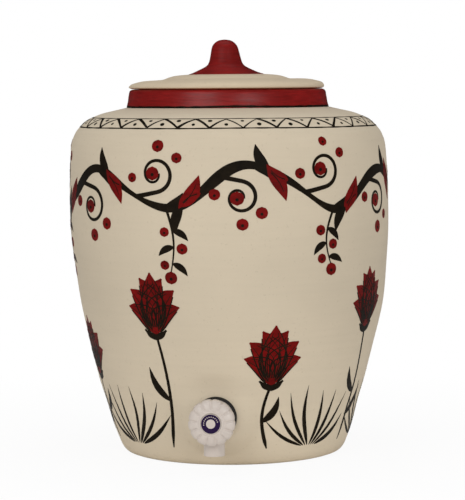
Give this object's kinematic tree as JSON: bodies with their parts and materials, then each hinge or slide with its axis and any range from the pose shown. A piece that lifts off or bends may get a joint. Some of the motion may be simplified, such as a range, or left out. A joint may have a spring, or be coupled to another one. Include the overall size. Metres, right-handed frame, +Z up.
{
  "type": "clay water pot with tap",
  "caption": "Thrown clay pot for drinking water with a loose clay lid and a white screw-down plastic tap low on its front, painted in cream, crimson and black.",
  "frame": {"origin": "middle of the flat foot that the pot stands on", "axes": "+Z up along the pot's axis, the tap points along -Y, +X to the right when seen from the front"},
  "size_m": [0.3004, 0.3145, 0.3847],
  "materials": {
    "clay": "matt cream paint over fired clay",
    "neck_clay": "crimson paint over fired clay",
    "lid_clay": "matt cream brim, crimson cone and grip",
    "white_plastic": "moulded white plastic",
    "spindle_plastic": "natural plastic",
    "black_rubber": "moulded rubber",
    "steel": "plain",
    "label_blue": "printed dark blue"
  },
  "bodies": {
    "pot": {"pot_base": "clay", "pot_wall_low": "clay", "pot_body": "clay", "pot_shoulder": "clay", "pot_neck": "neck_clay", "outer_gasket": "black_rubber", "inner_gasket": "black_rubber", "lock_nut": "white_plastic", "tap_body": "white_plastic", "bonnet_seal": "black_rubber", "bonnet": "white_plastic", "spindle_ring": "black_rubber"},
    "lid": {"lid": "lid_clay"},
    "jumper": {"valve_jumper": "spindle_plastic", "valve_washer": "black_rubber"},
    "knob": {"knob": "white_plastic", "spindle": "spindle_plastic", "knob_screw": "steel", "index_cap": "white_plastic", "index_label": "label_blue"}
  },
  "joints": [
    {"name": "lid_lift", "type": "slide", "parent": "pot", "child": "lid", "axis": [0, 0, 1], "range_m": [0, 0.12]},
    {"name": "jumper_slide", "type": "slide", "parent": "pot", "child": "jumper", "axis": [0, -1, 0], "range_m": [0, 0.003]},
    {"name": "knob_turn", "type": "hinge", "parent": "jumper", "child": "knob", "pos_m": [0, -0.15, 0.0475], "axis": [0, -1, 0], "range_deg": [0, 270]}
  ],
  "couplings": [
    {"joint": "jumper_slide", "follows": "knob_turn", "m_per_rad": 0.00063662}
  ]
}
